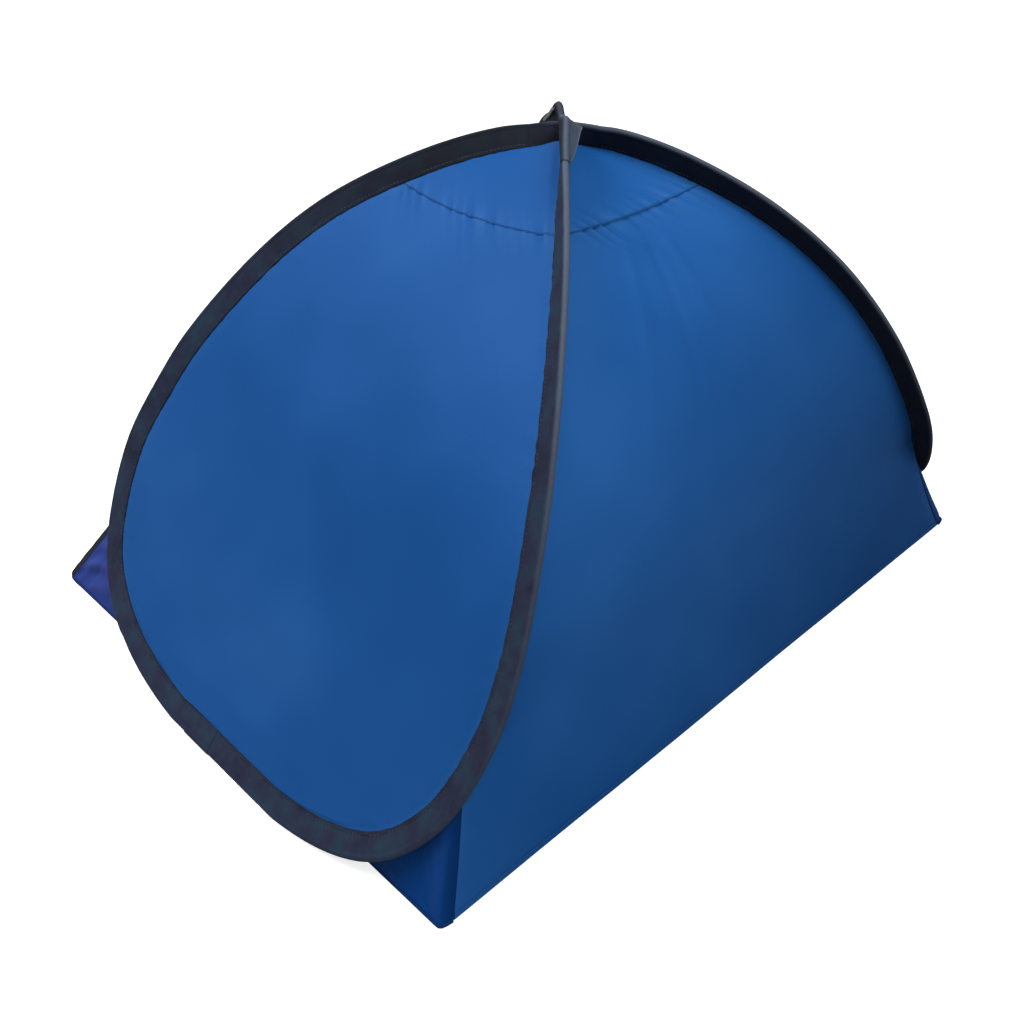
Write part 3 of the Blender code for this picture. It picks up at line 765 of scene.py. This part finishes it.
def relax(grid, spread, reach):
    """Rounds the grid down its columns, away from its side edges; its first and last rows stay."""
    before = 2 * grid[:1] - grid[3 * spread:0:-1]
    after = 2 * grid[-1:] - grid[-2:-2 - 3 * spread:-1]
    long = np.concatenate([before, grid, after])
    weights = np.exp(-0.5 * (np.arange(-3 * spread, 3 * spread + 1) / spread) ** 2)
    weights /= weights.sum()
    rounded = sum(w * long[k:k + len(grid)] for k, w in enumerate(weights))
    near, far = edge_distance(grid)
    share = ease(np.minimum(near, far) / reach)[..., None]
    return grid + (rounded - grid) * share


def wrinkles(grid, seam_distance, seed):
    """How far each point stands off the stretched surface, and the shares of painted highlight on the
    creases and of painted shade along the seam.
    """
    near, far = edge_distance(grid)
    nearest = np.minimum(near, far)
    free = ease(nearest / 0.010)
    q = np.abs(seam_distance)[:, None]
    gathers = wiggle(near, 0.0092, seed) * (0.55 + 0.45 * wiggle(near, 0.061, seed + 3.0))
    long_gathers = wiggle(near, 0.0170, seed + 2.0)
    seam = 0.00150 * gathers * np.exp(-q / 0.0085) + 0.00120 * long_gathers * np.exp(-q / 0.022)
    # painted shade: a dark line in the seam's recess
    groove = 0.85 * bell(q, 0.0008) + 0.0 * nearest
    down = run_length(grid[:, grid.shape[1] // 2])[:, None]
    rim = (0.00055 * wiggle(down, PUCKER_PITCH, seed + 0.4) * np.exp(-near / 0.011)
           + 0.00055 * wiggle(down, 0.0160, seed + 1.4) * np.exp(-far / 0.011))
    rim = rim * ease(nearest / 0.006)
    broad = 0.0022 * cloud(grid, 0.16, seed) + 0.0008 * cloud(grid, 0.055, seed + 1.0)
    height = free * (seam + broad) + rim - 0.0012 * groove * free
    # painted highlight: paler on the raised gathers by the seam; also paler within 4 mm of the sewn
    # edges
    crease = np.clip(0.45 + 700.0 * seam * free, 0.0, 1.0) * np.exp(-q / 0.016)
    crease = crease + 0.30 * np.exp(-np.maximum(nearest, 0.0) / 0.004)
    return height, np.clip(crease, 0, 1), groove


def finish_sheet(name, grid, height, crease, groove, mat):
    grid = grid + grid_normals(grid) * height[..., None]
    obj = cloth_sheet(name, grid, weave_of(grid), mat, crease=crease, groove=groove)
    return obj, grid


def row_shares(columns):
    """Share of the way across a row, for a grid made by span."""
    return np.concatenate([[0.0], np.linspace(0.0, 1.0, columns), [1.0]])[None, :]


def sag_share(lengths, start, seam):
    """How much of the seam's sag a row shows: all of it at the seam, none at its far ends."""
    return np.where(lengths < seam, ease((lengths - start) / (seam - start)),
                    1.0 - ease((lengths - seam) / SAG_REACH))[:, None]


def two_sheets(names, layers, cut, mat):
    """The sheets above and below the seam at row cut, from (grid, height, crease, groove)."""
    return [finish_sheet(names[0], *(layer[:cut + 1] for layer in layers), mat),
            finish_sheet(names[1], *(layer[cut:] for layer in layers), mat)]


def side_fabric(word, edge):
    seam, start = edge.length_at(np.array([SEAM_X, TOP_X]), "rear")
    rear = march(start, edge.ground[0], seam)
    x = np.interp(rear, edge.along, edge.x)
    x[-1] = GROUND_X
    front = edge.length_at(x, "front")
    grid = span(edge.sewn(rear), edge.sewn(front), edge.sewn(rear, IN_TAPE),
                edge.sewn(front, IN_TAPE), SIDE_COLUMNS)
    share = row_shares(SIDE_COLUMNS)
    normal = edge.at(rear, "normal")
    down = unit(np.stack([normal[:, 2] * edge.side, 0 * rear, -np.abs(normal[:, 0])], axis=1))
    dip = SEAM_SAG * sag_share(rear, start, seam) * 4 * share * (1 - share)
    grid = grid + down[:, None] * dip[..., None]
    seed = SEEDS[word]
    height, crease, groove = wrinkles(grid, rear - seam, seed)
    slack = 0.0035 * ease((rear - start) / 0.2) * (1.0 - ease((rear - edge.ground[0] + 0.25) / 0.25))
    height = height - slack[:, None] * 4 * share * (1 - share)
    flip = np.sign(np.sum(grid_normals(grid)[60, 60] * normal[60]))
    height = height * flip
    cut = int(np.argmin(np.abs(rear - seam)))
    (top, top_grid), (main, main_grid) = two_sheets(
        (word + "_top_cloth", word + "_side_cloth"), (grid, height, crease, groove), cut, SIDE_FABRIC)
    for obj, node in ((top, word + "_top_corner"), (main, word + "_side_panel")):
        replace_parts(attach(obj, word + "_lobe"), node)
    line = top_grid[-1, 2:-2]
    up = np.tile(normal[cut], (len(line), 1))
    row = stitches(word + "_seam_stitches", line + up * 0.0006 - down[cut] * 0.0022, up, BLUE_THREAD,
                   pitch=0.0030, long=0.0020)
    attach(row, word + "_lobe")
    return (top, top_grid), (main, main_grid), row


def foot_to_corner(edge, count):
    """The seam between the skirt and the rear panel: from the rear foot to the ground corner."""
    foot = edge.sewn(edge.length_at(REAR_FOOT_X, "rear"))
    corner = np.array([edge.side * (HEM_HALF_WIDTH - REAR_WRAP), REAR_HEM_Y, GROUND_GAP])
    t = np.linspace(0.0, 1.0, count)[1:, None]
    bow = 0.0025 * np.sin(math.pi * t) * np.array([[-edge.side, -0.4, 0.0]])
    return foot + (corner - foot) * t + bow


def rear_fabric():
    seam, start, foot = RIGHT.length_at(np.array([SEAM_X, TOP_X, REAR_FOOT_X]), "rear")
    lengths = march(start, foot, seam)
    x = np.interp(lengths, RIGHT.along, RIGHT.x)
    edges = []
    for edge in (LEFT, RIGHT):
        at = edge.length_at(x, "rear")
        seam_line = foot_to_corner(edge, SEAM_POINTS)
        edges.append((np.concatenate([edge.sewn(at), seam_line]),
                      np.concatenate([edge.sewn(at, IN_TAPE), seam_line])))
    (left, left_in), (right, right_in) = edges
    for line, side in ((left_in, -1.0), (right_in, 1.0)):
        line[1 - SEAM_POINTS:] += np.array([side * 0.0002, -0.0008, 0.0])
    grid = relax(span(left, right, left_in, right_in, REAR_COLUMNS), 11, 0.085)
    share = row_shares(REAR_COLUMNS)
    lengths = np.concatenate([lengths, foot + np.linspace(0, 0.11, SEAM_POINTS)[1:]])
    dip = SEAM_SAG * 0.7 * sag_share(lengths, start, seam) * 4 * share * (1 - share)
    grid = grid + np.array([0.0, 0.2, -0.98]) * dip[..., None]
    height, crease, groove = wrinkles(grid, lengths - seam, 3.0)
    height = height * (0.25 + 0.75 * np.clip(grid[..., 2] / 0.02, 0.0, 1.0))
    below = (lengths - seam)[:, None]
    folds = sum(high * bell(share - at - lean * below, wide) for high, at, lean, wide in REAR_FOLDS)
    height = height + folds * ease(below / 0.05) * (1.0 - ease((below - 0.16) / 0.20))
    height = height * np.sign(grid_normals(grid)[60, 75][1])
    cut = int(np.argmin(np.abs(lengths - seam)))
    (top, top_grid), (main, main_grid) = two_sheets(
        ("rear_top_cloth", "rear_cloth"), (grid, height, crease, groove), cut, REAR_FABRIC)
    turn = ease((share[0] - 0.03) / 0.94)
    for obj, part, node in ((top, top_grid, "rear_top_corner"), (main, main_grid, "rear_panel")):
        fan(obj)
        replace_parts(obj, node)
    line = top_grid[-1, 2:-2]
    up = np.tile([0.0, 0.45, 0.89], (len(line), 1))
    row = stitches("rear_seam_stitches", line + up * 0.0006 + np.array([0, -0.0019, 0.0010]), up,
                   BLUE_THREAD, pitch=0.0030, long=0.0020, shares=turn[2:-2])
    level = HEM_FOLD - 0.002
    k = int(np.argmin(np.abs(main_grid[:, 75, 2] - level)))
    line = main_grid[k, 3:-3]
    up = np.tile([0.0, 0.98, 0.2], (len(line), 1))
    hem_row = stitches("rear_hem_stitches", line + up * 0.0012, up, BLUE_THREAD,
                       shares=turn[3:-3])
    hem_grid = hem_band(main_grid, 0.0004)
    # painted highlight along the hem's bottom fold, painted shade under its top edge
    band = cloth_sheet("rear_hem", hem_grid, weave_of(hem_grid), REAR_FABRIC, 0.0010,
                       crease=0.2 * bell(hem_grid[..., 2], 0.0015),
                       groove=0.12 * bell(hem_grid[..., 2] - HEM_FOLD, 0.0008))
    fan(band)
    return (top, top_grid), (main, main_grid), row, hem_row, band


def hem_band(grid, off):
    """The hem's folded band: the lowest rows of the grid again, over their outer side."""
    inner = grid[:, 1:-1]
    first = int(np.argmax(inner[:, inner.shape[1] // 2, 2] < HEM_FOLD * 1.2))
    rows = inner[first:]
    top, bottom = rows[0], rows[-1]
    normals = grid_normals(rows)[-1]
    outside = np.sign(np.sum(normals[:, :2] * bottom[:, :2], axis=1))[:, None]
    share = np.clip((HEM_FOLD - bottom[:, 2]) / np.maximum(top[:, 2] - bottom[:, 2], 1e-6), 0, 1)
    levels = np.linspace(0.0, 1.0, 9)[:, None, None]
    return bottom + (top - bottom) * share[:, None] * levels + normals * outside * off


def skirt_fabric(word, edge):
    first = edge.length_at(REAR_FOOT_X, "rear")
    last = edge.length_at(FRONT_FOOT_X, "front")
    lengths = np.linspace(first, last, SKIRT_ROWS)
    normal = unit(edge.at(lengths, "normal"))
    top = edge.sewn(lengths, 0.0015) - normal * 0.0014
    top[0] = edge.sewn(lengths[:1])[0]
    y_share = (top[0, 1] - top[:, 1]) / (top[0, 1] - top[-1, 1])
    front_y = FRONT_HEM_Y - 0.0015
    hem_y = REAR_HEM_Y + (front_y - REAR_HEM_Y) * y_share
    hem = np.stack([0 * hem_y + edge.side * HEM_HALF_WIDTH, hem_y, 0 * hem_y + GROUND_GAP], axis=1)
    levels = np.linspace(0.0, 1.0, 34)
    grid = top[:, None] + (hem - top)[:, None] * levels[None, :, None]
    rear_line = np.concatenate([[edge.sewn(lengths[:1])[0]], foot_to_corner(edge, 34)])
    pull = np.exp(-(np.arange(SKIRT_ROWS) / 3.4) ** 1.5)[:, None, None]
    grid = grid + (rear_line[None] - grid[:1]) * pull
    grid = round_corner(grid)
    seed = SEEDS[word] + 1.0
    along = (lengths - first)[:, None]
    depth = np.linalg.norm(grid - grid[:, :1], axis=2)
    height_above = grid[..., 2]
    free = ease(depth / 0.01) * ease(height_above / 0.012)
    ends = ease(along / 0.012) * ease((last - first - along - 0.012) / 0.022)
    ripple = 0.0011 * wiggle(along, 0.055, seed) + 0.0004 * wiggle(along + depth * 0.4, 0.021, seed)
    flap = ease((along - (last - first) + 0.16) / 0.10)
    drape = 0.0030 * flap * wiggle(along - 0.75 * depth, 0.047, seed + 4.0)
    height = (ripple + drape + 0.0010 * cloud(grid, 0.05, seed)) * free * ends
    # painted highlight: paler on the crests of the ripples and the drape
    crease = np.clip(0.15 + 260.0 * (ripple + drape) * free, 0, 0.8) * (0.35 + 0.65 * flap)
    # painted shade: darker near the skirt's rear end, by its seam
    groove = 0.70 * np.exp(-along / 0.012) + 0 * depth
    obj, grid = finish_sheet(word + "_skirt_cloth", grid, height, crease, np.clip(groove, 0, 1),
                             SKIRT_FABRIC)
    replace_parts(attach(obj, word + "_lobe"), word + "_skirt")
    return obj, grid


def round_corner(grid):
    """Rounds the front ground corner of a skirt by sliding its points inside an arc."""
    grid = grid.copy()
    front = grid[-1]
    corner = front[-1].copy()
    hem_way = unit(grid[-40, -1] - corner)
    up_way = unit(front[0] - corner)
    half = math.acos(np.clip(np.dot(hem_way, up_way), -1, 1)) / 2
    centre = corner + unit(hem_way + up_way) * CORNER_RADIUS / math.sin(half)
    reach = CORNER_RADIUS / math.tan(half)
    body = grid[-CORNER_ROWS:]
    away = body - centre
    far = np.linalg.norm(away, axis=2, keepdims=True)
    near = (((body - corner) @ hem_way < reach) & ((body - corner) @ up_way < reach))[..., None]
    body[:] = np.where(near & (far > CORNER_RADIUS), centre + away / far * CORNER_RADIUS, body)
    return grid


def binding(word, grid):
    """The binding folded over the flap's front edge and round its ground corner."""
    path = np.concatenate([grid[-1, :, :], grid[-2:-22:-1, -1, :]])
    keep = [0]
    for k in range(1, len(path)):
        if np.linalg.norm(path[k] - path[keep[-1]]) > BINDING_STEP:
            keep.append(k)
    path = resample(path[keep], 90)[6:]
    for _ in range(3):
        path[1:-1] = (path[:-2] + 2 * path[1:-1] + path[2:]) / 4
    inside = grid[-30, 12]
    tangent = unit(np.gradient(path, axis=0))
    sheet_normal = unit(np.cross(grid[-1, -1] - grid[-1, 0], grid[-30, -1] - grid[-1, 0]))
    inward = unit(np.cross(np.tile(sheet_normal, (len(path), 1)), tangent))
    if np.dot(inward[20], inside - path[20]) < 0:
        inward = -inward
    body = grid[-CORNER_ROWS:].reshape(-1, 3)
    beside = path + inward * BINDING * 1.3
    slope = np.array([body[np.argmin(np.linalg.norm(body - p, axis=1))] for p in beside]) - path
    slope = unit(slope - tangent * np.sum(slope * tangent, axis=1, keepdims=True))
    for _ in range(12):
        slope[1:-1] = (slope[:-2] + 2 * slope[1:-1] + slope[2:]) / 4
    inward = unit(slope)
    faced = unit(np.cross(tangent, inward))
    faced = faced * np.sign(faced @ sheet_normal)[:, None]
    taper = 1.0 - 0.75 * ease((np.arange(len(path)) - BINDING_FRONT) / 20.0)
    profile = [(BINDING, 0.00085), (BINDING - 0.0005, 0.00130), (0.0045, 0.00120),
               (0.0030, 0.00140), (0.0010, 0.00145), (0.0001, 0.00110), (-0.0005, 0.00040)]
    a, b = np.array(profile + [(a, -b) for a, b in reversed(profile)]).T
    cols = len(a)
    run = np.arange(len(path)) * BINDING_STEP
    b = b + 0.00022 * wiggle(run, 0.013, 2.0)[:, None]
    reach = np.where(a > 0, a * taper[:, None], a)
    rings = path[:, None] + inward[:, None] * reach[..., None] + faced[:, None] * b[..., None]
    obj = make_object(word + "_binding", rings.reshape(-1, 3), tube_faces(len(path), cols),
                      FLAP_BINDING)
    put(obj, "weave", np.stack([np.repeat(run, cols), np.tile(a, len(path)),
                                np.zeros(len(path) * cols)], axis=1))
    # painted highlight: a pale line along the binding's folded edge
    put(obj, "wear", np.tile(np.clip(1.2 * bell(a - BINDING, 0.0008), 0, 1), len(path)))
    put(obj, "groove", np.zeros(len(path) * cols))
    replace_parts(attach(obj, word + "_lobe"), word + "_flap_binding")
    for label, sign in (("front", 1.0), ("back", -1.0)):
        line = path + inward * 0.0045 + faced * sign * 0.0012
        row = stitches(f"{word}_binding_stitches_{label}", line[:BINDING_FRONT],
                       faced[:BINDING_FRONT] * sign, NAVY_THREAD)
        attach(row, word + "_lobe")
    return obj


def skirt_hem(word, grid):
    """The skirt's narrow rolled hem: a cord of folded cloth along the ground edge."""
    path = resample(grid[1:-9, -1], 200)
    up = np.tile([0.0, 0.0, 1.0], (len(path), 1))
    aside = unit(np.cross(unit(np.gradient(path, axis=0)), up))
    obj = tube(word + "_skirt_hem", path + up * 0.0017, aside * 0.0011, up * 0.0017, 10, SKIRT_FABRIC)
    flat = np.array([v.co for v in obj.data.vertices])
    put(obj, "weave", np.stack([flat[:, 1], flat[:, 2], flat[:, 0]], axis=1))
    put(obj, "crease", np.zeros(len(flat)))
    # painted shade: the whole rolled hem is darkened
    put(obj, "groove", np.full(len(flat), 0.6))
    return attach(obj, word + "_lobe")


# --- everything ---
lobe_tape("right", RIGHT, ferrule=True)
lobe_tape("left", LEFT)
overlap_piece()
crossing("lower", strand_end(LEFT, "rear"), strand_end(RIGHT, "front"), False, 0.0, 0.0)
upper_frames, upper_shares = crossing("upper", strand_end(RIGHT, "rear"),
                                      strand_end(LEFT, "front"), True, 0.0150, CROSSING_DROP)
tie(upper_frames)

for word, edge in LOBES.items():
    (top, top_grid), (main, main_grid), seam_row = side_fabric(word, edge)
    skirt, skirt_grid = skirt_fabric(word, edge)
    band = binding(word, skirt_grid)
    rolled = skirt_hem(word, skirt_grid)
(top, top_grid), (main, main_grid), seam_row, hem_row, hem = rear_fabric()

for node in ("left_hoop_wire", "right_hoop_wire", "wire_ferrule"):
    for material_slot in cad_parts[node].material_slots:
        material_slot.material = STEEL


# --- floor, light, camera ---
def floor():
    mesh = bpy.data.meshes.new("floor")
    half = 6.0
    mesh.from_pydata([(-half, -half, 0), (half, -half, 0), (half, half, 0), (-half, half, 0)], [],
                     [(0, 1, 2, 3)])
    mat, tree, shader = new_material("floor", 0.9, specular=0.1)
    seen = add(tree, "LightPath").outputs["Is Camera Ray"]
    tree.links.new(mix(tree, seen, (0.22, 0.22, 0.22), (0.90, 0.90, 0.90)),
                   shader.inputs["Base Color"])
    shader.inputs["Emission Color"].default_value = (1.0, 1.0, 1.0, 1.0)
    tree.links.new(times(tree, seen, 0.72), shader.inputs["Emission Strength"])
    mesh.materials.append(mat)
    obj = bpy.data.objects.new("floor", mesh)
    obj.location.z = -0.0006
    bpy.context.collection.objects.link(obj)


def area_light(name, place, target, size, power):
    data = bpy.data.lights.new(name, "AREA")
    data.shape = "DISK"
    data.size = size
    data.energy = power
    obj = bpy.data.objects.new(name, data)
    obj.location = place
    way = Vector(target) - Vector(place)
    obj.rotation_euler = way.to_track_quat("-Z", "Y").to_euler()
    bpy.context.collection.objects.link(obj)


floor()
area_light("key", (1.3, -1.1, 2.4), (0.05, 0.0, 0.2), 1.6, 44.0)
area_light("top", (-0.1, 1.6, 2.7), (0.0, 0.1, 0.2), 1.8, 30.0)
area_light("front", (-1.6, -2.4, 1.6), (0.0, 0.0, 0.2), 2.0, 6.0)

world = bpy.data.worlds.new("studio")
world.use_nodes = True
world.node_tree.nodes["Background"].inputs["Color"].default_value = (1.0, 1.0, 1.0, 1.0)
backdrop = add(world.node_tree, "LightPath").outputs["Is Camera Ray"]
brightness = math_node(world.node_tree, "ADD", math_node(world.node_tree, "MULTIPLY", backdrop, 0.58),
                       0.42)
world.node_tree.links.new(brightness, world.node_tree.nodes["Background"].inputs["Strength"])
bpy.context.scene.world = world
bpy.context.scene.view_settings.view_transform = "Standard"

camera_data = bpy.data.cameras.new("camera")
camera_data.lens = 38.15
camera_data.sensor_width = 36.0
camera = bpy.data.objects.new("camera", camera_data)
camera.location = (0.679, 0.680, 0.703)
looking = Vector((-0.577, -0.591, -0.5635))
camera.rotation_euler = looking.to_track_quat("-Z", "Y").to_euler()
bpy.context.collection.objects.link(camera)
bpy.context.scene.camera = camera
